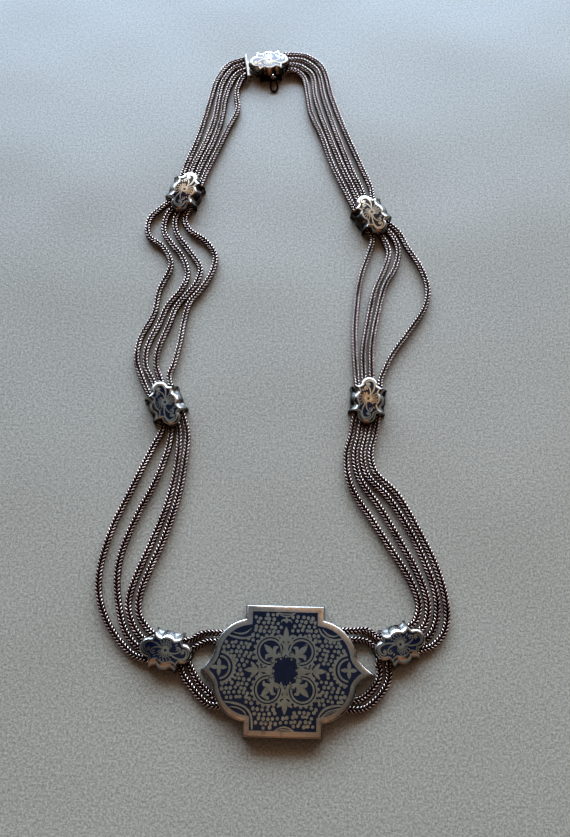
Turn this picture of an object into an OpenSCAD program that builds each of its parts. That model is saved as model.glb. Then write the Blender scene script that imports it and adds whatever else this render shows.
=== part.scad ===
// Silver necklace laid flat: four foxtail chains on each side run through three
// scalloped slides to a cartouche plaque in front, and meet in a box clasp behind.
// The origin lies under the middle of the plaque, on the surface; +Y runs to the clasp.

/* [Plaque] */
// Width of the plaque over its two side points
plaque_w = 44; // [43:0.5:45]
// Length of the plaque over its two square tabs
plaque_l = 32; // [31:0.2:33]
// Width of each square tab
tab_w = 20; // [19:0.5:21]
// Height of the plaque
plaque_h = 4.5; // [4.2:0.1:5]
// How far the plaque's foot stands out beyond its rim
plaque_flare = 0.3; // [0.2:0.1:0.6]
// Width of the raised silver rim round the niello
plaque_rim = 1.6; // [1.2:0.1:1.8]
// How far the domed top drops at the two tabs
plaque_dome = 0.6; // [0:0.1:0.7]

/* [Slides] */
// Height of a slide and of the clasp box
slide_h = 4.4; // [4.2:0.1:4.8]
// How far the domed top drops at the two ends
slide_dome = 0.5; // [0:0.1:0.6]
// Thickness of the plate under the chains
slide_floor = 0.45; // [0.4:0.05:0.5]
// Half the length of the closed walls beside the chains
wall_reach = 4.2; // [3.8:0.1:4.3]

/* [Niello panels] */
// Depth of the seat that a panel lies in
seat_depth = 0.5; // [0.4:0.05:0.7]
// Gap round and under each panel
panel_gap = 0.1; // [0.08:0.01:0.12]
// How far a panel lies below its rim
panel_drop = 0.05; // [0.02:0.01:0.1]

/* [Chains] */
// Diameter of one foxtail chain
chain_d = 2.1; // [1.8:0.05:2.1]
// Distance between neighbouring chains inside a slide
lane = 2.15; // [2.13:0.01:2.15]
// Height of a chain's centre where it lies on the surface
chain_z = 1.1; // [1.1:0.01:1.15]
// Longest distance between two rings of a chain's tube
ring_step = 6; // [4:0.5:7]

/* [Clasp] */
// How much shorter the clasp plate is than a slide at each end
clasp_trim = 0.4; // [0.3:0.05:0.5]
// Thickness of the tongue's sheet
sheet_t = 0.35; // [0.3:0.01:0.35]
// Wire of the small ring on the clasp
ring_wire = 0.6; // [0.4:0.05:0.6]

/* [Hidden] */
eps = 0.5;

silver = [0.72, 0.69, 0.64];
niello_blue = [0.12, 0.14, 0.2];
dark_silver = [0.42, 0.38, 0.37];

// Stations: x, y and the heading of the chains, from the clasp to the plaque
LEFT_UPPER = [-34.3, 140.2, -109.3];
LEFT_MIDDLE = [-35.3, 71.1, -64.6];
LEFT_LOWER = [-30.4, 4.4, -9.9];
RIGHT_UPPER = [23.2, 133.6, -60.1];
RIGHT_MIDDLE = [21.8, 73.6, -94.9];
RIGHT_LOWER = [29.6, 7.4, 201.9];
CLASP = [-9.9, 189.4, 9];

// Scalloped outline of a slide at each height, as one quarter of it:
// height, end of the lobe, lobe radius, tooth x and y, dip x and y, middle y
lobe_z = 2.75;
SLIDE_LEVELS = [
    [0,             7.25, 2.75, 3.5,  5.35, 1.65, 4.65, 5.1],
    [lobe_z,        7.2,  2.7,  3.5,  5.2,  1.65, 4.6,  5.0],
    [lobe_z + 0.45, 7.05, 2.6,  3.5,  4.8,  1.65, 3.95, 4.6],
    [slide_h - 0.5, 6.85, 2.4,  3.5,  4.3,  1.65, 3.25, 3.95],
    [slide_h,       6.6,  2.15, 3.5,  3.8,  1.7,  2.85, 3.5]
];
SEAT = [slide_h, 6.05, 1.65, 3.2, 2.95, 1.75, 2.3, 2.95];
// A domed top drops as the square of the way from its ridge, to its full drop at this way
dome_reach = [7.2, 16];

chain_up = slide_floor + 0.1 + chain_d / 2;
tunnel_w = 3 * lane + chain_d + 0.1;
tunnel_top = slide_floor + chain_d + 0.2;
clasp_body = wall_reach + 0.4;

// Plain curves
function arc(c, r, from, to, n) = [for (i = [0:n]) let (a = from + (to - from) * i / n)
    c + r * [cos(a), sin(a)]];
function bend(a, b, c, n) = [for (i = [1:n]) let (t = i / n)
    (1 - t) * (1 - t) * a + 2 * t * (1 - t) * b + t * t * c];
function flip_x(pts) = [for (i = [len(pts) - 1:-1:0]) [-pts[i][0], pts[i][1]]];
function half_turn(pts) = [for (p = pts) -p];
function last(v) = v[len(v) - 1];
// The full outline from one quarter that runs from the +X axis up to the +Y axis
function all_round(q) = let (
    up = concat(q, flip_x([for (i = [0:len(q) - 1]) if (q[i][0] > 0.01) q[i]])))
    concat([for (i = [0:len(up) - 2]) up[i]], [for (i = [0:len(up) - 2]) -up[i]]);

// Outline of a slide: end lobe, pointed tooth, dip and middle lobe
function middle_lobe(x, y, mid) = let (s = mid - y, r = (x * x + s * s) / (2 * s), a = atan2(x, r - s))
    arc([0, mid - r], r, 90 - a, 90, 4);
function slide_quarter(v) = let (
    lobe = arc([v[1] - v[2], 0], v[2], 0, 95, 5),
    tooth = [v[3], v[4]],
    dip = [v[5], v[6]],
    outer = bend(last(lobe), [v[3] + 0.4, v[2] + 0.1], tooth, 2),
    inner = bend(tooth, [v[3] - 0.6, v[6] + 0.1], dip, 2),
    middle = middle_lobe(v[5], v[6], v[7]))
    concat(lobe, outer, inner, [for (i = [1:4]) middle[i]]);
function slide_outline(v) = all_round(slide_quarter(v));
function trimmed(v, trim, inset) = [v[0], v[1] - trim - inset, v[2] - inset, v[3] - inset / 2,
    v[4] - 2 * inset, v[5], v[6] - inset, v[7] - inset];

// Outline of the plaque: square tab, round shoulder and side point
shoulder = [plaque_w / 2 - 13.7, 2.5];
shoulder_r = 10.1;
shoulder_end = 8;
side_lean = [0.9, -0.5];
plaque_y = 0.3;
function plaque_quarter() = let (
    tab_x = tab_w / 2,
    a = acos((tab_x - shoulder[0]) / shoulder_r),
    round = arc(shoulder, shoulder_r, shoulder_end, a, 9),
    tip = [plaque_w / 2, 0])
    concat([tip], bend(tip, [plaque_w / 2 - 3.3, 2.3], round[0], 4),
        [for (i = [1:9]) round[i]], [[tab_x, plaque_l / 2], [0, plaque_l / 2]]);
// The quarter moved inwards by d, or outwards where d is negative
function moved_in(q, d) = let (n = len(q)) [for (i = [0:n - 1]) let (
    u = i > 0 ? q[i] - q[i - 1] : q[0] - [q[1][0], -q[1][1]],
    w = i < n - 1 ? q[i + 1] - q[i] : [-1, 0],
    a = [-u[1], u[0]] / norm(u),
    b = [-w[1], w[0]] / norm(w))
    q[i] + d * (a + b) / (1 + a * b)];
// Points that have crossed the X axis give way to one point where the line meets the axis
function from_axis(q) = let (k = [for (i = [1:len(q) - 1]) if (q[i][1] > 0.02) i][0],
    t = q[k][1] / (q[k + 1][1] - q[k][1]))
    concat([q[k] - t * (q[k + 1] - q[k])], [for (i = [k:len(q) - 1]) q[i]]);
// The two side points lean a little to the right and to the front, as they were cut
function leaned(pts) = [for (p = pts) p + pow(min(1, abs(p[0]) * 2 / plaque_w), 8) * side_lean];
function plaque_outline(d) = leaned(all_round(moved_in(plaque_quarter(), d)));
function plaque_field(d) = leaned(all_round(from_axis(moved_in(plaque_quarter(), d))));

// A solid through a stack of outlines, each with its height and its drop at the ends of the axis
module loft(stack, axis = 0) {
    n = len(stack[0][0]);
    k = len(stack);
    points = concat([for (s = stack) for (p = s[0])
        [p[0], p[1], s[1] - s[2] * pow(p[axis] / dome_reach[axis], 2)]],
        [[0, 0, stack[0][1]], [0, 0, stack[k - 1][1]]]);
    walls = [for (j = [0:k - 2]) for (i = [0:n - 1]) let (a = j * n + i, b = j * n + (i + 1) % n)
        each [[a, a + n, b + n], [a, b + n, b]]];
    foot = [for (i = [0:n - 1]) [k * n, i, (i + 1) % n]];
    top = [for (i = [0:n - 1]) [k * n + 1, (k - 1) * n + (i + 1) % n, (k - 1) * n + i]];
    polyhedron(points, concat(walls, foot, top), convexity = 6);
}

module at_station(s) translate([s[0], s[1], 0]) rotate(s[2]) children();

// The dome grows from nothing at the height of the lobes' undersides
function dome_at(z) = slide_dome * min(1, max(0, (z - lobe_z) / (slide_h - 0.5 - lobe_z)));
module case_form(trim) loft([for (v = SLIDE_LEVELS)
    [slide_outline(trimmed(v, trim, 0)), v[0], dome_at(v[0])]]);

module domed_plate(trim, inset, low, high) {
    outline = slide_outline(trimmed(SEAT, trim, inset));
    loft([[outline, low, slide_dome], [outline, high, slide_dome]]);
}

module panel_seat(trim) domed_plate(trim, 0, slide_h - seat_depth, slide_h + eps);

module panel(trim) domed_plate(trim, panel_gap, slide_h - seat_depth + panel_gap, slide_h - panel_drop);

// Room under the two end lobes, which overhang the chains
module lobe_room(reach) for (s = [-1, 1])
    translate([s > 0 ? reach : -10, -8, -eps]) cube([10 - reach, 16, lobe_z + eps]);

module slide(station) color(silver) at_station(station) difference() {
    case_form(0);
    panel_seat(0);
    lobe_room(wall_reach);
    translate([-wall_reach - eps, -tunnel_w / 2, slide_floor])
        cube([2 * wall_reach + 2 * eps, tunnel_w, tunnel_top - slide_floor]);
}

module slide_niello(station) color(niello_blue) at_station(station) panel(0);

// Plaque: where each pair of chains enters, its inner end and the middle of the pair
pocket_x = 12;
pocket_w = lane + chain_d + 0.5;
POCKETS = [[-1, 8], [-1, -7.5], [1, 9.4], [1, -7.6]];

module plaque_case() color(silver) difference() {
    translate([0, plaque_y, 0]) difference() {
        loft([
            [plaque_outline(-plaque_flare), 0, 0],
            [plaque_outline(-plaque_flare), 0.6, 0],
            [plaque_outline(-plaque_flare * 0.3), 1.8, 0],
            [plaque_outline(0), plaque_h - 0.6, plaque_dome],
            [plaque_outline(0.1), plaque_h - 0.3, plaque_dome],
            [plaque_outline(0.5), plaque_h - 0.12, plaque_dome],
            [plaque_outline(1.1), plaque_h, plaque_dome]
        ], 1);
        loft([
            [plaque_field(plaque_rim), plaque_h - seat_depth, plaque_dome],
            [plaque_field(plaque_rim), plaque_h + eps, plaque_dome]
        ], 1);
    }
    for (p = POCKETS) translate([p[0] > 0 ? pocket_x : -pocket_x - 12, p[1] - pocket_w / 2, slide_floor])
        cube([12, pocket_w, chain_d + 0.4]);
}

module plaque_niello() color(niello_blue) translate([0, plaque_y, 0]) loft([
    [plaque_field(plaque_rim + panel_gap), plaque_h - seat_depth + panel_gap, plaque_dome],
    [plaque_field(plaque_rim + panel_gap), plaque_h - panel_drop, plaque_dome]
], 1);

// Clasp: the box takes the tongue at its left end; the right chains end at its wall
mouth_w = 6;
mouth_z = 0.8;
end_wall = 0.7;
lug = [0.6, -5.55, 2.75];
lug_r = 0.95;
lug_bore = 0.5;
lug_t = 0.5;

module clasp_box() color(silver) at_station(CLASP) {
    difference() {
        case_form(clasp_trim);
        panel_seat(clasp_trim);
        lobe_room(clasp_body);
        translate([-clasp_body + end_wall, -mouth_w / 2 - 0.3, mouth_z])
            cube([2 * clasp_body - 2 * end_wall - 0.5, mouth_w + 0.6, lobe_z - mouth_z]);
        translate([-clasp_body - eps, -mouth_w / 2, mouth_z])
            cube([end_wall + 2 * eps, mouth_w, lobe_z - mouth_z]);
    }
    difference() {
        union() {
            translate(lug) rotate([0, 90, 0]) cylinder(r = lug_r, h = lug_t, center = true, $fn = 32);
            translate(lug + [-lug_t / 2, 0.4, -0.35]) cube([lug_t, 0.9, 0.7]);
        }
        translate(lug) rotate([0, 90, 0]) cylinder(r = lug_bore, h = 2, center = true, $fn = 32);
    }
}

module clasp_niello() color(niello_blue) at_station(CLASP) panel(clasp_trim);

plate_x = -7.5;
plate_t = 0.55;
plate_w = 8.6;
plate_h = 3.3;
tongue_w = mouth_w - 0.4;
tongue_z = mouth_z + 0.3;
tongue_end = 2.4;
// Side view of the tongue: a flat blade folded back into a spring leaf
TONGUE = [
    [plate_x + plate_t / 2, tongue_z], [tongue_end, tongue_z], [tongue_end + 0.4, tongue_z + 0.3],
    [tongue_end, tongue_z + 0.6], [-3.4, lobe_z - 0.1], [-3.4, lobe_z - 0.4],
    [tongue_end - 0.5, tongue_z + sheet_t], [plate_x + plate_t / 2, tongue_z + sheet_t]
];

module clasp_tongue() color(silver) at_station(CLASP) {
    translate([plate_x, -plate_w / 2, 0.15]) cube([plate_t, plate_w, plate_h - 0.15]);
    translate([plate_x, -3.6, 0.15]) cube([1.7, 7.2, 0.4]);
    translate([0, tongue_w / 2, 0]) rotate([90, 0, 0]) linear_extrude(tongue_w) polygon(TONGUE);
}

// Small pear-shaped ring that hangs from the lug and rests on the surface
ring_top_r = 0.75;
ring_low_r = 1.15;
ring_l = 4.4;
ring_tilt = asin((lug[2] - ring_wire / 2 - 0.05) / ring_l);
function pear() = let (
    d = ring_l - ring_top_r - ring_low_r,
    b = asin((ring_low_r - ring_top_r) / d),
    low = arc([0, -ring_top_r - d], ring_low_r, 180 - b, 360 + b, 10),
    top = arc([0, -ring_top_r], ring_top_r, b, 180 - b, 8))
    [for (p = concat(low, top)) [p[0], p[1], 0]];

module clasp_ring() color(silver) at_station(CLASP) translate(lug) rotate([ring_tilt, 0, 0])
    tube(pear(), ring_wire, 8, true);

// A round wire or chain swept along a path, with its section upright on the path
function unit(v) = v / norm(v);
function path_dir(p, i, closed) = let (n = len(p),
    a = closed ? p[(i + n - 1) % n] : p[max(i - 1, 0)],
    b = closed ? p[(i + 1) % n] : p[min(i + 1, n - 1)])
    unit(b - a);
module tube(path, d, sides, closed) {
    n = len(path);
    spans = closed ? n : n - 1;
    points = [for (i = [0:n - 1]) let (
        t = path_dir(path, i, closed), s = unit(cross(t, [0, 0, 1])), u = cross(s, t))
        for (k = [0:sides - 1]) let (a = 360 * k / sides)
            path[i] + d / 2 * (cos(a) * s + sin(a) * u)];
    walls = [for (i = [0:spans - 1]) for (k = [0:sides - 1]) let (
        a = i * sides, b = ((i + 1) % n) * sides, m = (k + 1) % sides)
        each [[a + k, a + m, b + m], [a + k, b + m, b + k]]];
    start = [for (k = [sides - 1:-1:0]) k];
    end = [for (k = [0:sides - 1]) (n - 1) * sides + k];
    polyhedron(points, closed ? walls : concat(walls, [start, end]), convexity = 10);
}

// A point in the lane of chain k, so far along a station from its centre
function in_lane(s, along, k, z) = let (side = (k - 2.5) * lane) [
    s[0] + along * cos(s[2]) - side * sin(s[2]),
    s[1] + along * sin(s[2]) + side * cos(s[2]), z];
function through(s, k) = [for (x = [-4.2, -2.2, 2.2, 4.2]) in_lane(s, x, k, chain_up)];
function laid(pts) = [for (p = pts) [p[0], p[1], chain_z]];
function pocket_end(x, y) = [[sign(x) * 17.9, y, chain_up], [x, y, chain_up]];

// A smooth curve through all points, with a ring at each and between far ones
function tangent(p, i) = let (n = len(p), a = max(i - 1, 0), b = min(i + 1, n - 1))
    (p[b] - p[a]) / (norm(p[i] - p[a]) + norm(p[b] - p[i]));
function above(p) = [p[0], p[1], max(p[2], chain_z)];
function smooth(p) = [for (i = [0:len(p) - 2]) let (
    l = norm(p[i + 1] - p[i]), m0 = l * tangent(p, i), m1 = l * tangent(p, i + 1),
    n = max(1, ceil(l / ring_step)))
    for (j = [0:n - 1]) let (t = j / n)
        above((2 * t * t * t - 3 * t * t + 1) * p[i] + (t * t * t - 2 * t * t + t) * m0
        + (3 * t * t - 2 * t * t * t) * p[i + 1] + (t * t * t - t * t) * m1),
    last(p)];

// Where the left chains lie on the surface, from the outer chain 1 to the inner chain 4:
// clasp to upper slide, upper to middle, middle to lower, and lower slide to plaque
LEFT_ROUTES = [
    [[[-23.3, 189.5], [-26.7, 183.6], [-28.4, 176.6], [-29.9, 169], [-32, 160], [-35, 150]],
     [[-41.4, 135.2], [-44.8, 131], [-44.6, 125.4], [-39.8, 121.4], [-37.2, 115.5], [-40, 107],
      [-41, 99.5], [-44.5, 91], [-44.9, 84.4], [-42.3, 77.8]],
     [[-36, 63.8], [-37.8, 59.5], [-40.2, 54], [-43.8, 45], [-47.4, 36], [-49.7, 26],
      [-49.6, 19], [-47.6, 13], [-44, 7.6], [-39.4, 3.3]],
     [[-26.2, -1.1], [-24.4, -3.5], [-21.9, -6.2], [-19.8, -7.9]], -8.6],
    [[[-22, 187.6], [-24.8, 182.6], [-26, 176], [-26.9, 168.5], [-29.1, 160], [-32.7, 150]],
     [[-39.7, 132], [-40, 127], [-37, 122.3], [-33.8, 118.3], [-32, 112.6], [-33.6, 107.4],
      [-37.2, 102.1], [-39.2, 96.5], [-42.2, 88.5], [-42.2, 83], [-39.9, 78.6]],
     [[-33.5, 63], [-34.4, 56.4], [-37.4, 47.5], [-40.6, 40.5], [-44.2, 30], [-45, 22.5],
      [-43.8, 15], [-41.8, 9.2], [-38.6, 5.5]],
     [[-24.9, 1.7], [-23.6, -0.6], [-21.8, -3.2], [-20.1, -4.8]], -6.4],
    [[[-20.8, 185.4], [-22.6, 181.3], [-23.8, 175.5], [-24.6, 168], [-26.7, 160], [-30.4, 150]],
     [[-36.9, 131], [-36, 126.3], [-31.9, 120.5], [-28.3, 114.8], [-29.3, 109.6], [-31.8, 105.8],
      [-34.6, 101.5], [-36.4, 95.8], [-39, 88], [-39.2, 83], [-37.6, 79]],
     [[-31.2, 63], [-31.3, 54], [-33, 43], [-36.6, 32], [-39.6, 24], [-41.4, 17.4],
      [-40.8, 12.6], [-37.9, 7.9]],
     [[-24.3, 4.7], [-22.3, 5.9], [-20.2, 6.8]], 6.9],
    [[[-19.5, 182.2], [-20.2, 178.6], [-19.6, 172], [-22.2, 165], [-25.1, 157], [-28.2, 148.9]],
     [[-34, 131.5], [-32.2, 127.6], [-27.2, 124], [-24, 119], [-24.8, 113.2], [-27.8, 107.5],
      [-30.7, 103.3], [-31.9, 98], [-32.8, 90.5], [-34.2, 83.5], [-35.2, 80]],
     [[-28.9, 63], [-28.9, 57], [-30.2, 45], [-33.4, 33], [-36.6, 24.5], [-38.6, 18],
      [-38.4, 13.2], [-36.4, 10.3]],
     [[-24, 7.4], [-21.8, 8.7]], 9.1]
];
// The same for the right chains, from the inner chain 1 to the outer chain 4
RIGHT_ROUTES = [
    [[[1.6, 184.9], [3, 178.5], [4.2, 171.5], [7.8, 162.5], [11, 153], [15, 143.5]],
     [[23.7, 126], [22.4, 121], [20, 113], [18.6, 101], [18.2, 90.5], [18.7, 81]],
     [[17.3, 64], [15.9, 57.5], [17.2, 49], [23, 39.5], [28.5, 31], [32.8, 24], [35, 18], [34.2, 13.8]],
     [[23.3, 9.5], [21.2, 10.7]], 10.5],
    [[[1.3, 189], [4.5, 185.6], [5.4, 178.5], [7.4, 170.6], [11.1, 160], [14.8, 150.3],
      [17.5, 143.9]],
     [[26.6, 126.6], [28.5, 121.8], [27.3, 116.3], [24.2, 108.5], [22.2, 99], [20.7, 89], [20.9, 81]],
     [[19.5, 64], [18.2, 57.5], [19.6, 51], [25, 43.3], [31, 33.1], [35.2, 25], [37.4, 18],
      [36.5, 12.6]],
     [[23.5, 6.5], [21.4, 7.9]], 8.3],
    [[[1.8, 191.5], [6.1, 187.6], [8.4, 177], [13, 162], [17.4, 149.9], [20.2, 143.6]],
     [[29.7, 127], [31.4, 122.5], [30.4, 116.6], [27.1, 110], [24.9, 101], [23.2, 90.5], [23.1, 81]],
     [[21.7, 64], [20.4, 57.8], [21.7, 52], [27.2, 46.2], [32.8, 37.5], [37, 28.5], [39.6, 20.5],
      [39.6, 14.2], [37.4, 9.6]],
     [[24.2, 2.9], [24.6, 0.9], [24.3, -1.4], [22.5, -4], [20.2, -5.9]], -6.5],
    [[[2.7, 193.5], [7.8, 189.1], [10.9, 177.5], [15.3, 164.5], [19.9, 152.6], [23.2, 144.1]],
     [[31.5, 128.6], [34.4, 123], [37.9, 117], [40, 110], [38.9, 103.5], [35, 97], [29, 88],
      [25.7, 80.6]],
     [[23.9, 64], [22.7, 58], [24, 53], [29.8, 47], [35.8, 36.5], [40.1, 27], [42.3, 18],
      [41.8, 11.5], [38.8, 7.6]],
     [[26.9, 1], [26.9, -0.9], [25.9, -3.4], [23.6, -6.2], [21, -8.2]], -8.7]
];
pocket_in = 12.4;
tongue_side = CLASP + [0, 0, 180];

function left_path(k) = let (r = LEFT_ROUTES[k - 1]) concat(
    [in_lane(tongue_side, 7.65, k, chain_up), in_lane(tongue_side, 8.6, k, chain_up)], laid(r[0]),
    through(LEFT_UPPER, k), laid(r[1]), through(LEFT_MIDDLE, k), laid(r[2]),
    through(LEFT_LOWER, k), laid(r[3]), pocket_end(-pocket_in, r[4]));
function right_path(k) = let (r = RIGHT_ROUTES[k - 1]) concat(
    [in_lane(CLASP, clasp_body + 0.25, k, chain_up), in_lane(CLASP, 7.8, k, chain_up)], laid(r[0]),
    through(RIGHT_UPPER, k), laid(r[1]), through(RIGHT_MIDDLE, k), laid(r[2]),
    through(RIGHT_LOWER, k), laid(r[3]), pocket_end(pocket_in, r[4]));

module chain_left(k) color(dark_silver) tube(smooth(left_path(k)), chain_d, 8, false);
module chain_right(k) color(dark_silver) tube(smooth(right_path(k)), chain_d, 8, false);

plaque_case();
plaque_niello();
slide(LEFT_UPPER);  // slide_left_upper
slide(LEFT_MIDDLE);  // slide_left_middle
slide(LEFT_LOWER);  // slide_left_lower
slide(RIGHT_UPPER);  // slide_right_upper
slide(RIGHT_MIDDLE);  // slide_right_middle
slide(RIGHT_LOWER);  // slide_right_lower
slide_niello(LEFT_UPPER);  // slide_left_upper_niello
slide_niello(LEFT_MIDDLE);  // slide_left_middle_niello
slide_niello(LEFT_LOWER);  // slide_left_lower_niello
slide_niello(RIGHT_UPPER);  // slide_right_upper_niello
slide_niello(RIGHT_MIDDLE);  // slide_right_middle_niello
slide_niello(RIGHT_LOWER);  // slide_right_lower_niello
clasp_box();
clasp_niello();
clasp_tongue();
clasp_ring();
chain_left(1);  // chain_left_1
chain_left(2);  // chain_left_2
chain_left(3);  // chain_left_3
chain_left(4);  // chain_left_4
chain_right(1);  // chain_right_1
chain_right(2);  // chain_right_2
chain_right(3);  // chain_right_3
chain_right(4);  // chain_right_4
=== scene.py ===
# A four-strand silver necklace with niello slides, a niello plaque and a box clasp,
# laid on grey art paper with a window beyond it and another to the right.
import math
import random

import bpy
import numpy as np
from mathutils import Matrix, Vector


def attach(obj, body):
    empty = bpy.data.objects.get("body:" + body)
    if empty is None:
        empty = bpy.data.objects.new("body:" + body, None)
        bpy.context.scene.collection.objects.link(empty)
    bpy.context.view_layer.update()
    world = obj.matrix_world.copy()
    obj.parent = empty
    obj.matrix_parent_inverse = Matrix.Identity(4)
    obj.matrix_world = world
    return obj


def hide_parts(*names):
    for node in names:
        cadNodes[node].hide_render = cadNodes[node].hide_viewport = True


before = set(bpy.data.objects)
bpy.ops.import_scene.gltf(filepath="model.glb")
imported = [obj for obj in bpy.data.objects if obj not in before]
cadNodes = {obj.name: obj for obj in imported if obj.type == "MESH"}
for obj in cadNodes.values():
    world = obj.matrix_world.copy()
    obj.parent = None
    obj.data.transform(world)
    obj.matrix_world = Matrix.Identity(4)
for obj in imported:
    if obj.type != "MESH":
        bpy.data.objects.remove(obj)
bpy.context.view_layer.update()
mm = 0.001
print("frame loaded:", len(cadNodes), "parts")


# helpers for materials
def linear(code):
    parts = [int(code[i:i + 2], 16) / 255 for i in (1, 3, 5)]
    return tuple(c / 12.92 if c <= 0.04045 else ((c + 0.055) / 1.055) ** 2.4 for c in parts) + (1.0,)


def addNode(tree, kind, settings=None, links=None):
    node = tree.nodes.new(kind)
    for name, value in (settings or {}).items():
        if isinstance(name, int) or name in node.inputs:
            node.inputs[name].default_value = value
        else:
            setattr(node, name, value)
    for name, source in (links or {}).items():
        tree.links.new(source, node.inputs[name])
    return node


def startMaterial(name):
    material = bpy.data.materials.new(name)
    material.use_nodes = True
    tree = material.node_tree
    shader = tree.nodes["Principled BSDF"]
    place = tree.nodes.new("ShaderNodeTexCoord").outputs["Object"]
    return material, tree, shader, place


def perMm(size):
    # noise scale for features of this many millimetres
    return 1 / (size * mm)


# Silver alloy, worked from sheet and hand finished, then worn for a century: soft wide highlights
# and hair scratches on the tops, and low on the walls a dark brown that is partly tarnish and
# partly painted shade. The scratches are drawn coarser than real ones, so that they show
wornSilver = {"bright": "#ddd6cb", "tarnished": "#a2978a", "tarnishAndShade": "#281b15", "cloudMm": 2.2,
              "tone": (0.35, 0.72), "scratchMm": 0.12, "scratchDepthMm": 0.004, "scratchShare": 0.35,
              "scratchStretch": (1.0, 0.12, 0.6), "unevenMm": 0.03, "smooth": 0.16, "rough": 0.32,
              "glossSpread": (0.3, 0.7), "tarnishAndShadeLowMm": 2.7, "tarnishAndShadeHighMm": 4.0, "tarnishAndShadeWaveMm": 2.4}


def makeWornSilver(name, look):
    material, tree, shader, place = startMaterial(name)
    clouds = addNode(tree, "ShaderNodeTexNoise", {"Scale": perMm(look["cloudMm"]), "Detail": 5.0,
                     "Roughness": 0.6}, {"Vector": place})
    tone = addNode(tree, "ShaderNodeMapRange", {"From Min": look["tone"][0],
                   "From Max": look["tone"][1]}, {"Value": clouds.outputs["Fac"]})
    mix = addNode(tree, "ShaderNodeMix", {"data_type": "RGBA", 6: linear(look["bright"]),
                  7: linear(look["tarnished"])}, {0: tone.outputs["Result"]})
    # the dark brown low on the walls, partly tarnish and partly painted shade, fades upwards at a height
    # that wanders with the clouds
    wander = look["tarnishAndShadeWaveMm"]
    height = addNode(tree, "ShaderNodeSeparateXYZ", {}, {"Vector": place})
    wobble = addNode(tree, "ShaderNodeMath", {"operation": "MULTIPLY_ADD", 1: wander * mm},
                     {0: clouds.outputs["Fac"], 2: height.outputs["Z"]})
    low = addNode(tree, "ShaderNodeMapRange", {"From Min": (look["tarnishAndShadeLowMm"] + wander / 2) * mm,
                  "From Max": (look["tarnishAndShadeHighMm"] + wander / 2) * mm, "To Min": 1.0, "To Max": 0.0},
                  {"Value": wobble.outputs[0]})
    brown = addNode(tree, "ShaderNodeMix", {"data_type": "RGBA", 7: linear(look["tarnishAndShade"])},
                    {0: low.outputs["Result"], 6: mix.outputs[2]})
    stretch = addNode(tree, "ShaderNodeMapping", {"Scale": look["scratchStretch"]},
                      {"Vector": place})
    scratches = addNode(tree, "ShaderNodeTexNoise", {"Scale": perMm(look["scratchMm"]), "Detail": 3.0},
                        {"Vector": stretch.outputs["Vector"]})
    gloss = addNode(tree, "ShaderNodeMapRange", {"To Min": look["smooth"], "To Max": look["rough"],
                    "From Min": look["glossSpread"][0], "From Max": look["glossSpread"][1]},
                    {"Value": clouds.outputs["Fac"]})
    hand = addNode(tree, "ShaderNodeBump", {"Distance": look["unevenMm"] * mm},
                   {"Height": clouds.outputs["Fac"]})
    bump = addNode(tree, "ShaderNodeBump", {"Strength": look["scratchShare"],
                   "Distance": look["scratchDepthMm"] * mm},
                   {"Height": scratches.outputs["Fac"], "Normal": hand.outputs["Normal"]})
    shader.inputs["Metallic"].default_value = 1.0
    tree.links.new(brown.outputs[2], shader.inputs["Base Color"])
    tree.links.new(gloss.outputs["Result"], shader.inputs["Roughness"])
    tree.links.new(bump.outputs["Normal"], shader.inputs["Normal"])
    return material


silver = makeWornSilver("silver_worn_sheet", wornSilver)
# The figures left in silver between the niello are flat and engraved, so a little duller,
# and carry none of the walls' low tarnish and painted shade
figureSilver = makeWornSilver("silver_engraved_figures", dict(
    wornSilver, bright="#d8d2c2", tarnished="#b0a792", cloudMm=1.6, smooth=0.16, rough=0.28,
    tarnishAndShadeLowMm=-9, tarnishAndShadeHighMm=-8))

# Niello: black sulphides of silver, copper and lead fused into the engraving and polished flush:
# a dense blue-black with a lead-like gloss, here without a clear film over it
nielloLook = {"name": "niello_polished", "deep": "#020616", "worn": "#080f22", "cloudMm": 1.6,
              "tone": (0.4, 0.75), "smooth": 0.09, "rough": 0.2, "shine": 0.5, "film": 0}


def makeNiello(look):
    material, tree, shader, place = startMaterial(look["name"])
    clouds = addNode(tree, "ShaderNodeTexNoise", {"Scale": perMm(look["cloudMm"]), "Detail": 6.0,
                     "Roughness": 0.65}, {"Vector": place})
    tone = addNode(tree, "ShaderNodeMapRange", {"From Min": look["tone"][0],
                   "From Max": look["tone"][1]}, {"Value": clouds.outputs["Fac"]})
    mix = addNode(tree, "ShaderNodeMix", {"data_type": "RGBA", 6: linear(look["deep"]),
                  7: linear(look["worn"])}, {0: tone.outputs["Result"]})
    gloss = addNode(tree, "ShaderNodeMapRange", {"To Min": look["smooth"], "To Max": look["rough"]},
                    {"Value": clouds.outputs["Fac"]})
    tree.links.new(mix.outputs[2], shader.inputs["Base Color"])
    tree.links.new(gloss.outputs["Result"], shader.inputs["Roughness"])
    shader.inputs["Specular IOR Level"].default_value = look["shine"]
    shader.inputs["Coat Weight"].default_value = look["film"]
    shader.inputs["Coat Roughness"].default_value = look["rough"]
    return material


niello = makeNiello(nielloLook)

# Drawn silver wire, oxidised: black in the grooves, mauve-brown on the flanks,
# rubbed bright on the crowns of the links
wireLook = {"oxide": "#050302", "flank": "#62443a", "rubbed": "#f2cebc", "cloudMm": 4.0,
            "cloudShare": 0.6, "foot": (0.18, 0.42), "head": (0.54, 0.84), "smooth": 0.13,
            "rough": 0.36, "filmMetal": 0.9}


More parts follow.
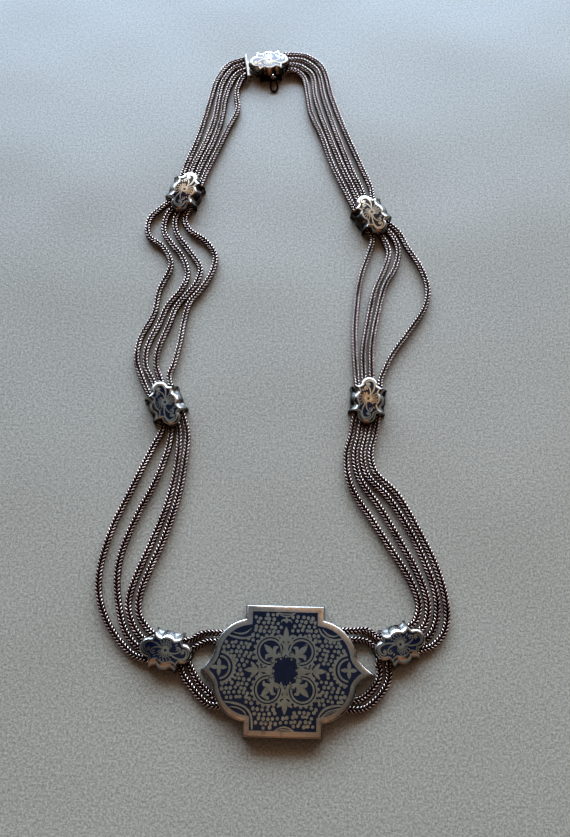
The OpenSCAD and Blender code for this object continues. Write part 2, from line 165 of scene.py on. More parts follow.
def makeOxidisedWire(look):
    material, tree, shader, place = startMaterial("silver_wire_oxidised")
    crown = addNode(tree, "ShaderNodeAttribute", {"attribute_name": "crown"})
    clouds = addNode(tree, "ShaderNodeTexNoise", {"Scale": perMm(look["cloudMm"]), "Detail": 4.0},
                     {"Vector": place})
    worn = addNode(tree, "ShaderNodeMath", {"operation": "ADD", 1: -0.5}, {0: clouds.outputs["Fac"]})
    lift = addNode(tree, "ShaderNodeMath", {"operation": "MULTIPLY_ADD", 1: look["cloudShare"]},
                   {0: worn.outputs[0], 2: crown.outputs["Fac"]})
    foot, head = (addNode(tree, "ShaderNodeMapRange", {"From Min": start, "From Max": end},
                  {"Value": lift.outputs[0]}) for start, end in (look["foot"], look["head"]))
    dark = addNode(tree, "ShaderNodeMix", {"data_type": "RGBA", 6: linear(look["oxide"]),
                   7: linear(look["flank"])}, {0: foot.outputs["Result"]})
    mix = addNode(tree, "ShaderNodeMix", {"data_type": "RGBA", 7: linear(look["rubbed"])},
                  {0: head.outputs["Result"], 6: dark.outputs[2]})
    gloss = addNode(tree, "ShaderNodeMapRange", {"To Min": look["rough"], "To Max": look["smooth"]},
                    {"Value": head.outputs["Result"]})
    # the film of tarnish is a little less metallic than the bare crowns
    bare = addNode(tree, "ShaderNodeMapRange", {"To Min": look["filmMetal"], "To Max": 1.0},
                   {"Value": head.outputs["Result"]})
    tree.links.new(bare.outputs["Result"], shader.inputs["Metallic"])
    tree.links.new(mix.outputs[2], shader.inputs["Base Color"])
    tree.links.new(gloss.outputs["Result"], shader.inputs["Roughness"])
    return material


wire = makeOxidisedWire(wireLook)
print("materials made")


# helpers for meshes
def addObject(name, data):
    added = bpy.data.objects.new(name, data)
    bpy.context.scene.collection.objects.link(added)
    return added


def makePiece(name, points, faces, materials, replaced, faceMaterial=None, sharp=40):
    mesh = bpy.data.meshes.new(name)
    mesh.from_pydata([tuple(p) for p in points], [], [tuple(f) for f in faces])
    for material in materials:
        mesh.materials.append(material)
    if faceMaterial is not None:
        mesh.polygons.foreach_set("material_index", np.array(faceMaterial, np.int32))
    mesh.polygons.foreach_set("use_smooth", np.ones(len(mesh.polygons), bool))
    mesh.update()
    mesh.set_sharp_from_angle(angle=math.radians(sharp))
    piece = addObject(name, mesh)
    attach(piece, "root")
    for node in replaced:
        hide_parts(node)
    return piece


def fullTurn(count):
    return np.linspace(0, 2 * math.pi, count + 1)[:-1]


def bandFaces(loops, count, closed=False, first=0):
    # quads between loops of count points that follow one another
    faces = []
    for j in range(loops if closed else loops - 1):
        a, b = first + j * count, first + (j + 1) % loops * count
        faces += [(a + i, a + (i + 1) % count, b + (i + 1) % count, b + i) for i in range(count)]
    return faces


def smoothPath(points, step):
    # a curve through all points, cut into steps of even length
    p = np.array(points, float)
    gaps = np.linalg.norm(np.diff(p, axis=0), axis=1)
    ahead = np.vstack([p[1:], p[-1:]])
    behind = np.vstack([p[:1], p[:-1]])
    reach = np.append(gaps, 0) + np.append(0, gaps)
    slopes = (ahead - behind) / reach[:, None]
    fine = []
    for i, gap in enumerate(gaps):
        t = np.linspace(0, 1, 25)[:-1, None]
        fine.append((2 * t**3 - 3 * t**2 + 1) * p[i] + (t**3 - 2 * t**2 + t) * gap * slopes[i]
                    + (3 * t**2 - 2 * t**3) * p[i + 1] + (t**3 - t**2) * gap * slopes[i + 1])
    fine = np.vstack(fine + [p[-1:]])
    along = np.append(0, np.cumsum(np.linalg.norm(np.diff(fine, axis=0), axis=1)))
    stops = np.linspace(0, along[-1], max(2, round(along[-1] / step)) + 1)
    return np.stack([np.interp(stops, along, fine[:, k]) for k in range(3)], axis=1)


# Where each slide and the clasp lie: x, y in mm and the heading of the chains in degrees
stations = {
    "left_upper": (-34.3, 140.2, -109.3), "left_middle": (-35.3, 71.1, -64.6),
    "left_lower": (-30.4, 4.4, -9.9), "right_upper": (23.2, 133.6, -60.1),
    "right_middle": (21.8, 73.6, -94.9), "right_lower": (29.6, 7.4, 201.9),
}
claspStation = (-9.9, 189.4, 9)


def placed(points, station):
    # from a slide's own frame to the necklace's, in mm
    p = np.array(points, float)
    turn = math.radians(station[2])
    x = station[0] + p[:, 0] * math.cos(turn) - p[:, 1] * math.sin(turn)
    y = station[1] + p[:, 0] * math.sin(turn) + p[:, 1] * math.cos(turn)
    return np.column_stack([x, y, p[:, 2]])


# Camera: above the plaque and tilted a little towards the clasp
view = {"place": (0.21, 2.18, 211.9), "tilt": 17.38, "turn": 1.5, "lens": 33.55}
camera = addObject("camera", bpy.data.cameras.new("camera"))
camera.location = Vector(view["place"]) * mm
camera.rotation_euler = (math.radians(view["tilt"]), 0, math.radians(view["turn"]))
camera.data.lens = view["lens"]
camera.data.clip_start = 0.005
bpy.context.scene.camera = camera

# Matt grey art paper, pressed from mottled fibre: a fine speckle, and a sheen that takes the
# sky's blue at the far end. The sheet doesn't lie quite flat
paper = {"size": 900, "tone": "#bfad95", "fleck": "#766b5b", "speckle": (0.7, 1.3), "mottleMm": 0.6,
         "grainMm": 0.3, "grainDepthMm": 0.03, "grainShare": 0.5, "waveMm": 60, "waveDepthMm": 1.6,
         "gloss": 0.44, "sheen": 0.9}


def makePaper(look):
    material, tree, shader, place = startMaterial("paper_matt")
    grain = addNode(tree, "ShaderNodeTexNoise", {"Scale": perMm(look["grainMm"]), "Detail": 2.0,
                    "Roughness": 0.6}, {"Vector": place})
    mottle = addNode(tree, "ShaderNodeTexNoise", {"Scale": perMm(look["mottleMm"]), "Detail": 1.0},
                     {"Vector": place})
    specks = addNode(tree, "ShaderNodeMath", {"operation": "ADD"},
                     {0: grain.outputs["Fac"], 1: mottle.outputs["Fac"]})
    spread = addNode(tree, "ShaderNodeMapRange", {"From Min": look["speckle"][0],
                     "From Max": look["speckle"][1]}, {"Value": specks.outputs[0]})
    mix = addNode(tree, "ShaderNodeMix", {"data_type": "RGBA", 6: linear(look["fleck"]),
                  7: linear(look["tone"])}, {0: spread.outputs["Result"]})
    wave = addNode(tree, "ShaderNodeTexNoise", {"Scale": perMm(look["waveMm"]), "Detail": 1.0},
                   {"Vector": place})
    swell = addNode(tree, "ShaderNodeBump", {"Distance": look["waveDepthMm"] * mm},
                    {"Height": wave.outputs["Fac"]})
    bump = addNode(tree, "ShaderNodeBump", {"Strength": look["grainShare"],
                   "Distance": look["grainDepthMm"] * mm},
                   {"Height": grain.outputs["Fac"], "Normal": swell.outputs["Normal"]})
    tree.links.new(mix.outputs[2], shader.inputs["Base Color"])
    tree.links.new(bump.outputs["Normal"], shader.inputs["Normal"])
    shader.inputs["Roughness"].default_value = look["gloss"]
    shader.inputs["Specular IOR Level"].default_value = look["sheen"]
    return material


half = paper["size"] / 2 * mm
floorMesh = bpy.data.meshes.new("paper")
floorMesh.from_pydata([(-half, -half, 0), (half, -half, 0), (half, half, 0), (-half, half, 0)],
                      [], [(0, 1, 2, 3)])
floorMesh.materials.append(makePaper(paper))
floor = addObject("paper", floorMesh)

# Studio, each light laid over the ones before it: dark brown walls, wood low on the near side,
# something warm and coppery above it, a lit patch of ceiling overhead with haze beyond it, a small
# golden glint, a pale window to the right with a warm edge, and beyond the clasp a warm pane over
# a low band of bright blue sky, which gives most of the light.
# Each has its colour and power, the way to it, and the cosines between which it fades in
room = {
    "walls": ("#4a2c1a", 0.07),
    "wood": ("#cc9068", 0.5, (0, -0.97, 0.24), 0.8, 0.95),
    "near": ("#f2c09c", 0.5, (-0.03, -0.45, 0.89), 0.955, 0.985),
    "ceiling": ("#c4c4be", 0.32, (0, 0, 1), 0.95, 0.985),
    "haze": ("#a4b8cc", 0.36, (0, 0.26, 0.966), 0.955, 0.985),
    "glint": ("#ffd8a0", 9.0, (-0.03, -0.19, 0.98), 0.9984, 0.9998),
    "edge": ("#ffc078", 1.4, (0.731, 0.618, -0.289), -0.05, 0.0),
    "window": ("#fff6ea", 0.42, (0.731, 0.618, -0.289), 0.02, 0.1),
    "pane": ("#ffefd6", 2.2, (-0.1, 0.8, -0.6), -0.03, 0.06),
    "sky": ("#b8daff", 16.9, (-0.1, 0.8, -0.6), 0.165, 0.265),
}
# What bounds the windows: the sill under both, and how far round each one reaches
bounds = {"sill": ((0, 0, 1), 0.15, 0.3), "right": ((-0.35, 0.94, 0), 0.0, 0.3),
          "beyond": ((0, 1, 0), 0.5, 0.75)}


def makeRoom(look):
    world = bpy.data.worlds.new("studio")
    bpy.context.scene.world = world
    world.use_nodes = True
    tree = world.node_tree
    way = addNode(tree, "ShaderNodeTexCoord").outputs["Generated"]

    def facing(direction, low, high):
        dot = addNode(tree, "ShaderNodeVectorMath", {"operation": "DOT_PRODUCT", 1: direction},
                      {0: way})
        ramp = addNode(tree, "ShaderNodeMapRange", {"interpolation_type": "SMOOTHSTEP",
                       "From Min": low, "From Max": high}, {"Value": dot.outputs["Value"]})
        return ramp.outputs["Result"]

    def both(a, b):
        return addNode(tree, "ShaderNodeMath", {"operation": "MULTIPLY"}, {0: a, 1: b}).outputs[0]

    sill, right, beyond = (facing(*bounds[name]) for name in ("sill", "right", "beyond"))
    sides = {"edge": right, "window": right, "pane": beyond, "sky": beyond}
    colour = None
    for name, (tone, power, *spread) in look.items():
        tint = tuple(c * power for c in linear(tone)[:3]) + (1.0,)
        if not spread:
            colour = addNode(tree, "ShaderNodeRGB").outputs[0]
            colour.default_value = tint
            continue
        share = facing(*spread)
        if name in sides:
            share = both(both(share, sill), sides[name])
        colour = addNode(tree, "ShaderNodeMix", {"data_type": "RGBA", 7: tint},
                         {0: share, 6: colour}).outputs[2]
    tree.links.new(colour, tree.nodes["Background"].inputs["Color"])


makeRoom(room)
bpy.context.scene.view_settings.view_transform = "Standard"
print("camera, paper and light ready")

# Chains: foxtail, rows of bent wire loops whose ends meet as a V on each of four sides, in mm
# shadeCore: radius of the black tube inside, painted shade that shows in the grooves
chain = {"pitch": 0.98, "outer": 1.07, "wireAlong": 0.28, "wireOut": 0.26, "slant": 0.68,
         "sweepDeg": 47, "groove": 0.2, "shadeCore": 0.44, "grow": (0.97, 1.02), "stepMm": 0.25,
         "swayMm": (25, 60), "swayDeg": (3, 7), "lane": 2.15, "upZ": 1.6, "flatZ": 1.1,
         "slideX": (-4.2, -2.2, 2.2, 4.2), "tongueX": (7.65, 8.6), "boxX": (4.85, 7.8),
         "plaqueX": (17.9, 12.4)}
# Each chain's open runs over the paper, x and y in mm: clasp to upper slide, upper to middle,
# middle to lower and lower slide to plaque, then the y at which it enters the plaque
leftRoutes = [
    [[(-23.3, 189.5), (-26.7, 183.6), (-28.4, 176.6), (-29.9, 169), (-32, 160), (-35, 150)],
     [(-41.4, 135.2), (-44.8, 131), (-44.6, 125.4), (-39.8, 121.4), (-37.2, 115.5), (-40, 107),
      (-41, 99.5), (-44.5, 91), (-44.9, 84.4), (-42.3, 77.8)],
     [(-36, 63.8), (-37.8, 59.5), (-40.2, 54), (-43.8, 45), (-47.4, 36), (-49.7, 26), (-49.6, 19),
      (-47.6, 13), (-44, 7.6), (-39.4, 3.3)],
     [(-26.2, -1.1), (-24.4, -3.5), (-21.9, -6.2), (-19.8, -7.9)], -8.6],
    [[(-22, 187.6), (-24.8, 182.6), (-26, 176), (-26.9, 168.5), (-29.1, 160), (-32.7, 150)],
     [(-39.7, 132), (-40, 127), (-37, 122.3), (-33.8, 118.3), (-32, 112.6), (-33.6, 107.4),
      (-37.2, 102.1), (-39.2, 96.5), (-42.2, 88.5), (-42.2, 83), (-39.9, 78.6)],
     [(-33.5, 63), (-34.4, 56.4), (-37.4, 47.5), (-40.6, 40.5), (-44.2, 30), (-45, 22.5), (-43.8, 15),
      (-41.8, 9.2), (-38.6, 5.5)],
     [(-24.9, 1.7), (-23.6, -0.6), (-21.8, -3.2), (-20.1, -4.8)], -6.4],
    [[(-20.8, 185.4), (-22.6, 181.3), (-23.8, 175.5), (-24.6, 168), (-26.7, 160), (-30.4, 150)],
     [(-36.9, 131), (-36, 126.3), (-31.9, 120.5), (-28.3, 114.8), (-29.3, 109.6), (-31.8, 105.8),
      (-34.6, 101.5), (-36.4, 95.8), (-39, 88), (-39.2, 83), (-37.6, 79)],
     [(-31.2, 63), (-31.3, 54), (-33, 43), (-36.6, 32), (-39.6, 24), (-41.4, 17.4), (-40.8, 12.6),
      (-37.9, 7.9)],
     [(-24.3, 4.7), (-22.3, 5.9), (-20.2, 6.8)], 6.9],
    [[(-19.5, 182.2), (-20.2, 178.6), (-19.6, 172), (-22.2, 165), (-25.1, 157), (-28.2, 148.9)],
     [(-34, 131.5), (-32.2, 127.6), (-27.2, 124), (-24, 119), (-24.8, 113.2), (-27.8, 107.5),
      (-30.7, 103.3), (-31.9, 98), (-32.8, 90.5), (-34.2, 83.5), (-35.2, 80)],
     [(-28.9, 63), (-28.9, 57), (-30.2, 45), (-33.4, 33), (-36.6, 24.5), (-38.6, 18), (-38.4, 13.2),
      (-36.4, 10.3)],
     [(-24, 7.4), (-21.8, 8.7)], 9.1],
]
rightRoutes = [
    [[(1.6, 184.9), (3, 178.5), (4.2, 171.5), (7.8, 162.5), (11, 153), (15, 143.5)],
     [(23.7, 126), (22.4, 121), (20, 113), (18.6, 101), (18.2, 90.5), (18.7, 81)],
     [(17.3, 64), (15.9, 57.5), (17.2, 49), (23, 39.5), (28.5, 31), (32.8, 24), (35, 18), (34.2, 13.8)],
     [(23.3, 9.5), (21.2, 10.7)], 10.5],
    [[(1.3, 189), (4.5, 185.6), (5.4, 178.5), (7.4, 170.6), (11.1, 160), (14.8, 150.3), (17.5, 143.9)],
     [(26.6, 126.6), (28.5, 121.8), (27.3, 116.3), (24.2, 108.5), (22.2, 99), (20.7, 89), (20.9, 81)],
     [(19.5, 64), (18.2, 57.5), (19.6, 51), (25, 43.3), (31, 33.1), (35.2, 25), (37.4, 18),
      (36.5, 12.6)],
     [(23.5, 6.5), (21.4, 7.9)], 8.3],
    [[(1.8, 191.5), (6.1, 187.6), (8.4, 177), (13, 162), (17.4, 149.9), (20.2, 143.6)],
     [(29.7, 127), (31.4, 122.5), (30.4, 116.6), (27.1, 110), (24.9, 101), (23.2, 90.5), (23.1, 81)],
     [(21.7, 64), (20.4, 57.8), (21.7, 52), (27.2, 46.2), (32.8, 37.5), (37, 28.5), (39.6, 20.5),
      (39.6, 14.2), (37.4, 9.6)],
     [(24.2, 2.9), (24.6, 0.9), (24.3, -1.4), (22.5, -4), (20.2, -5.9)], -6.5],
    [[(2.7, 193.5), (7.8, 189.1), (10.9, 177.5), (15.3, 164.5), (19.9, 152.6), (23.2, 144.1)],
     [(31.5, 128.6), (34.4, 123), (37.9, 117), (40, 110), (38.9, 103.5), (35, 97), (29, 88),
      (25.7, 80.6)],
     [(23.9, 64), (22.7, 58), (24, 53), (29.8, 47), (35.8, 36.5), (40.1, 27), (42.3, 18), (41.8, 11.5),
      (38.8, 7.6)],
     [(26.9, 1), (26.9, -0.9), (25.9, -3.4), (23.6, -6.2), (21, -8.2)], -8.7],
]


def inLane(station, reach, lane, height):
    side = (lane - 1.5) * chain["lane"]
    return placed([(along, side, height) for along in reach], station).tolist()


def chainPath(side, lane):
    left = side == "left"
    open1, open2, open3, open4, endY = (leftRoutes if left else rightRoutes)[lane]
    claspSide = claspStation[:2] + (claspStation[2] + (180 if left else 0),)
    path = inLane(claspSide, chain["tongueX" if left else "boxX"], lane, chain["upZ"])
    for run, level in zip((open1, open2, open3), ("upper", "middle", "lower")):
        path += [(x, y, chain["flatZ"]) for x, y in run]
        path += inLane(stations[side + "_" + level], chain["slideX"], lane, chain["upZ"])
    path += [(x, y, chain["flatZ"]) for x, y in open4]
    sign = -1 if left else 1
    return path + [(sign * x, endY, chain["upZ"]) for x in chain["plaqueX"]]


def lobeTemplate():
    # one row: four wire lobes, each from a groove over its corner to the next groove
    pts, faces, crown = [], [], []
    sides, steps = 7, 6
    for corner in range(4):
        lean = 1 if corner % 2 == 0 else -1
        first = len(pts)
        for i in range(steps):
            t = i / (steps - 1)
            swing = (t - 0.5) * 2
            angle = math.radians(45 + corner * 90 + swing * chain["sweepDeg"])
            bulge = 1 - swing * swing
            middle = chain["outer"] - chain["wireOut"] - chain["groove"] * (1 - bulge)
            along = lean * swing * chain["slant"] + corner % 2 * chain["pitch"] / 2
            thick = 0.7 + 0.3 * math.sqrt(bulge)  # the ends are thinner
            for k in range(sides):
                turn = 2 * math.pi * k / sides
                radius = middle + chain["wireOut"] * thick * math.sin(turn)
                shift = along + chain["wireAlong"] * thick * math.cos(turn)
                pts.append((shift, radius * math.cos(angle), radius * math.sin(angle)))
                crown.append(bulge**0.3 * max(0, math.sin(turn))**1.5)  # 1 where it's rubbed most
        for i in range(steps - 1):
            for k in range(sides):
                a, b = first + i * sides + k, first + i * sides + (k + 1) % sides
                faces.append((a, a + sides, b + sides, b))
        faces.append(tuple(first + k for k in range(sides)))
        faces.append(tuple(first + (steps - 1) * sides + k for k in range(sides - 1, -1, -1)))
    return np.array(pts), faces, np.array(crown)


def makeChain(side, lane):
    rng = random.Random(f"{side}{lane}")
    path = smoothPath(chainPath(side, lane), chain["stepMm"])
    path[:, 2] = np.maximum(path[:, 2], chain["flatZ"])
    gaps = np.linalg.norm(np.diff(path, axis=0), axis=1)
    along = np.append(0, np.cumsum(gaps))
    forward = np.gradient(path, along, axis=0)
    forward /= np.linalg.norm(forward, axis=1)[:, None]
    across = np.cross(forward, (0, 0, 1))
    across /= np.linalg.norm(across, axis=1)[:, None]
    upward = np.cross(across, forward)
    rows = np.arange(0.5, along[-1] - 0.5, chain["pitch"])
    local, lobeFaces, crown = lobeTemplate()
    # the chain rolls a little about its own line, in three slow waves
    waves = [(rng.uniform(*chain["swayMm"]), rng.uniform(0, 6.3), rng.uniform(*chain["swayDeg"]))
             for i in range(3)]
    roll = sum(size * np.sin(rows / length * 6.28 + phase) for length, phase, size in waves)
    roll = np.radians(roll)[:, None]
    grow = np.array([rng.uniform(*chain["grow"]) for r in rows])[:, None]
    s = np.clip(rows[:, None] + local[None, :, 0], 0, along[-1])
    y = grow * (local[None, :, 1] * np.cos(roll) - local[None, :, 2] * np.sin(roll))
    z = grow * (local[None, :, 1] * np.sin(roll) + local[None, :, 2] * np.cos(roll))
    points = np.zeros(s.shape + (3,))
    for k in range(3):
        points[..., k] = (np.interp(s, along, path[:, k]) + y * np.interp(s, along, across[:, k])
                          + z * np.interp(s, along, upward[:, k]))
    size = len(local)
    points = points.reshape(-1, 3)
    faces = [tuple(i + r * size for i in face) for r in range(len(rows)) for face in lobeFaces]
    crowns = np.tile(crown, len(rows))
    # a dark tube inside the chain, seen only in the grooves: its black is the wire's oxide colour and
    # stands in as painted shade between the lobes
    picks, sides, first = range(0, len(path), 6), 8, len(points)
    shadeTube = [path[i] + chain["shadeCore"] * (math.cos(a) * across[i] + math.sin(a) * upward[i])
             for i in picks for a in fullTurn(sides)]
    faces += bandFaces(len(picks), sides, first=first)
    points = np.vstack([points, shadeTube]) * mm
    crowns = np.append(crowns, np.zeros(len(shadeTube)))
    name = f"foxtail_{side}_{lane + 1}"
    piece = makePiece(name, points, faces, [wire], [f"chain_{side}_{lane + 1}"], sharp=180)
    piece.data.attributes.new("crown", "FLOAT", "POINT").data.foreach_set("value", crowns)


for side in ("left", "right"):
    for lane in range(4):
        makeChain(side, lane)
print("eight chains laid")


# outlines shared by the slides, the clasp and the plaque
def arcPoints(centre, radius, start, end, count):
    angles = np.radians(np.linspace(start, end, count + 1))
    return np.array(centre) + radius * np.column_stack([np.cos(angles), np.sin(angles)])


def bendPoints(a, b, c, count):
    t = np.linspace(0, 1, count + 1)[1:, None]
    return (1 - t)**2 * np.array(a) + 2 * t * (1 - t) * np.array(b) + t**2 * np.array(c)


def allRound(quarter):
    mirrored = quarter[::-1] * (-1, 1)
    mirrored = mirrored[mirrored[:, 0] < -0.01]
    upper = np.vstack([quarter, mirrored])[:-1]
    return np.vstack([upper, -upper])


def loft(levels):
    # a skin over outlines that have a height for every point, closed at both ends
    count = len(levels[0])
    faces = bandFaces(len(levels), count)
    faces.append(tuple(range(count - 1, -1, -1)))
    faces.append(tuple((len(levels) - 1) * count + i for i in range(count)))
    return np.vstack(levels), faces


# Slides: end lobe, pointed tooth, dip and middle lobe, as one quarter at each height in mm:
# height, lobe end, lobe radius, tooth x and y, dip x and y, middle y
slide = {"height": 4.4, "dome": 0.5, "domeX": 7.2, "domeFullZ": 3.9, "wallReach": 4.2, "lobeZ": 2.75,
         "floor": 0.45, "tunnelW": 8.65, "tunnelTop": 2.75, "tunnelReach": 6, "panelZ": 3.5,
         "panelDrop": 0.06, "panelGap": 0.02, "crossDome": 0.04, "crossY": 3}
slideLevels = np.array([
    (0.0, 7.25, 2.75, 3.5, 5.35, 1.65, 4.65, 5.1),
    (2.75, 7.2, 2.7, 3.5, 5.2, 1.65, 4.6, 5.0),
    (3.2, 7.05, 2.6, 3.5, 4.8, 1.65, 3.95, 4.6),
    (3.9, 6.85, 2.4, 3.5, 4.3, 1.65, 3.25, 3.95),
    (4.4, 6.6, 2.15, 3.5, 3.8, 1.7, 2.85, 3.5)])
slideSeat = (4.4, 5.85, 1.48, 3.2, 2.75, 1.75, 2.15, 2.78)


def slideOutline(row, trim=0.0, inset=0.0):
    end, lobe, toothX, toothY, dipX, dipY, mid = row[1:]
    end -= trim + inset
    lobe -= inset
    toothX -= inset / 2
    toothY -= 2 * inset
    dipY -= inset
    mid -= inset
    endRound = arcPoints((end - lobe, 0), lobe, 0, 95, 12)
    tooth, dip = (toothX, toothY), (dipX, dipY)
    outer = bendPoints(endRound[-1], (toothX + 0.4, lobe + 0.1), tooth, 6)
    inner = bendPoints(tooth, (toothX - 0.6, dipY + 0.1), dip, 6)
    rise = mid - dipY
    radius = (dipX**2 + rise**2) / (2 * rise)
    angle = math.degrees(math.atan2(dipX, radius - rise))
    middle = arcPoints((0, mid - radius), radius, 90 - angle, 90, 8)[1:]
    return allRound(np.vstack([endRound, outer, inner, middle]))


def domed(outline, height, share=1.0):
    drop = slide["dome"] * share * (outline[:, 0] / slide["domeX"])**2
    return np.column_stack([outline, height - drop])


def rowAt(height):
    return [np.interp(height, slideLevels[:, 0], slideLevels[:, k]) for k in range(8)]


boxFaces = [(0, 1, 3, 2), (4, 6, 7, 5), (0, 4, 5, 1), (2, 3, 7, 6), (0, 2, 6, 4), (1, 5, 7, 3)]


def cutAway(piece, boxes, station):
    # saws boxes out of a piece: low and high corners in the slide's frame, mm
    for low, high in boxes:
        corners = [(x, y, z) for x in (low[0], high[0]) for y in (low[1], high[1])
                   for z in (low[2], high[2])]
        mesh = bpy.data.meshes.new("saw")
        mesh.from_pydata([tuple(p) for p in placed(corners, station) * mm], [], boxFaces)
        saw = addObject("saw", mesh)
        cut = piece.modifiers.new("cut", "BOOLEAN")
        cut.object, cut.operation, cut.solver = saw, "DIFFERENCE", "EXACT"
        sawn = piece.evaluated_get(bpy.context.evaluated_depsgraph_get())
        shaped = bpy.data.meshes.new_from_object(sawn)
        piece.modifiers.clear()
        piece.data = shaped
        bpy.data.objects.remove(saw)
    piece.data.polygons.foreach_set("use_smooth", np.ones(len(piece.data.polygons), bool))
    piece.data.set_sharp_from_angle(angle=math.radians(35))


def caseLevels(trim):
    levels = []
    for height in (0, 0.12, 0.8, 1.6, 2.75, 2.95, 3.2, 3.5, 3.9, 4.1):
        share = min(1, max(0, (height - slide["lobeZ"]) / (slide["domeFullZ"] - slide["lobeZ"])))
        worn = 0.06 if height == 0 else 0  # the lower edge
        levels.append(domed(slideOutline(rowAt(height), trim, worn), height, share))
    # the rim rolls over from the outer edge to the seat
    outer, inner = slideOutline(rowAt(slide["height"]), trim), slideOutline(slideSeat, trim)
    for share, height in ((-0.06, 4.2), (0.06, 4.28), (0.22, 4.34), (0.42, 4.38), (0.65, 4.4),
                          (1, 4.395), (1, 3.93)):
        levels.append(domed(outer + share * (inner - outer), height))
    return levels


def makeSlideCase(name, station, trim, cuts, replaced):
    points, faces = loft(caseLevels(trim))
    piece = makePiece(name, placed(points, station) * mm, faces, [silver], replaced)
    # below the end lobes the walls stand straight; far and wide reach past every lobe
    wall, top, far, wide = slide["wallReach"] + trim, slide["lobeZ"], 12, 8
    rooms = [((wall, -wide, -1), (far, wide, top)), ((-far, -wide, -1), (-wall, wide, top))]
    cutAway(piece, rooms + cuts, station)


def turned(x, y, heading):
    # from a figure's own frame to its panel's
    ux, uy = math.cos(math.radians(heading)), math.sin(math.radians(heading))
    return lambda u, v: (x + u * ux - v * uy, y + u * uy + v * ux)


# Ornament: flat figures of silver and niello laid over each other in thin layers.
# Figures of one layer keep a hair apart, so that none share a plane
relief = {"layerMm": 0.006, "hairMm": 0.0005, "hairs": 11, "stepMm": 0.1, "thinMm": 0.02}


class Ornament:
    def __init__(self, surface):
        self.points, self.faces, self.kinds, self.surface = [], [], [], surface

    def lifted(self, spots, layer):
        hair = len(self.kinds) % relief["hairs"]
        lift = layer * relief["layerMm"] + hair * relief["hairMm"]
        self.points += [(x, y, z + lift) for x, y, z in (self.surface(*spot) for spot in spots)]

    def figure(self, outline, layer, kind=1):
        first = len(self.points)
        self.lifted(outline, layer)
        self.faces.append(tuple(range(first, len(self.points))))
        self.kinds.append(kind)

    def disc(self, x, y, radius, layer, kind=1, count=20, squash=1.0):
        self.figure([(x + radius * math.cos(a), y + radius * squash * math.sin(a))
                     for a in fullTurn(count)], layer, kind)

    def stroke(self, line, widths, layer, kind=1, blunt=True):
        path = smoothPath([(x, y, 0) for x, y in line], relief["stepMm"])[:, :2]
        gaps = np.linalg.norm(np.diff(path, axis=0), axis=1)
        along = np.append(0, np.cumsum(gaps))
        half = np.interp(along / along[-1], np.linspace(0, 1, len(widths)), widths) / 2
        if blunt:
            for way, end in ((along, half[0]), (along[-1] - along, half[-1])):
                near = np.clip(1 - way / max(end, 0.01), 0, 1)
                rounded = np.where(near > 0, end * np.sqrt(1 - near**2), half)
                half = np.minimum(half, np.maximum(relief["thinMm"], rounded))
        way = np.gradient(path, axis=0)
        way /= np.linalg.norm(way, axis=1)[:, None]
        side = np.column_stack([-way[:, 1], way[:, 0]]) * half[:, None]
        first = len(self.points)
        self.lifted([spot for a, b in zip(path + side, path - side) for spot in (a, b)], layer)
        for i in range(len(path) - 1):
            j = first + 2 * i
            self.faces.append((j, j + 1, j + 3, j + 2))
            self.kinds.append(kind)

    def leaf(self, x, y, heading, length, width, layer, kind=1):
        shape = [(0, 0.12), (0.2, 0.36), (0.42, 0.5), (0.65, 0.42), (0.85, 0.2), (1, 0), (0.85, -0.2),
                 (0.65, -0.42), (0.42, -0.5), (0.2, -0.36), (0, -0.12)]
        spot = turned(x, y, heading)
        self.figure([spot(u * length, v * width) for u, v in shape][::-1], layer, kind)

    def band(self, x, y, radius, width, start, end, layer, kind=1):
        angles = np.radians(np.linspace(start, end, max(8, int(abs(end - start) / 8))))
        self.stroke([(x + radius * math.cos(a), y + radius * math.sin(a)) for a in angles],
                    [width], layer, kind)


def finishPanel(name, ornament, outline, base, station, replaced, black=niello):
    # the niello plate: rings from its rim to its middle, then the figures over it
    rings = [np.array([ornament.surface(x * f, y * f) for x, y in outline])
             for f in (1.0, 0.94, 0.86, 0.78, 0.7, 0.6, 0.5, 0.4, 0.3, 0.2, 0.1)]
    foot = np.column_stack([rings[0][:, :2], np.full(len(outline), base)])
    points, faces = loft([foot] + rings)
    kinds = [0] * len(faces) + ornament.kinds
    first = len(points)
    faces += [tuple(first + i for i in face) for face in ornament.faces]
    points = np.vstack([points, ornament.points])
    makePiece(name, placed(points, station) * mm, faces, [black, figureSilver],
              replaced, kinds, sharp=30)


def slideSurface(x, y):
    top = slide["height"] - slide["panelDrop"]
    return (x, y, top - slide["dome"] * (x / slide["domeX"])**2
            - slide["crossDome"] * (y / slide["crossY"])**2)


# Half of a slide's ornament, mm from its middle: a double scroll to each side of a rosette
scrolls = [
    ([(-0.8, 0.3), (-1.75, 0.84), (-2.53, 1.22), (-3.38, 1.42), (-4.35, 1.42), (-5.15, 1.1), (-5.5, 0.5),
      (-5.45, -0.24), (-5.1, -0.8), (-4.5, -0.95), (-4.1, -0.62)], [0.24, 0.36, 0.4, 0.4, 0.34, 0.3]),
    ([(-0.6, 0.2), (-1.2, 0.37), (-2.1, 0.42), (-3.0, 0.16), (-3.6, -0.36), (-3.66, -0.95), (-3.25, -1.2),
      (-2.95, -0.95)], [0.22, 0.28, 0.34, 0.3, 0.34]),
]
# The rosette's petals: heading in degrees and length
petals = [(-160, 2.05), (-140, 2.3), (-118, 2.25), (-96, 2.15), (-74, 2.1), (-52, 2.15), (-32, 2.1),
          (133, 2.2), (116, 2.3), (98, 2.35), (80, 2.4), (63, 2.3), (46, 2.0)]


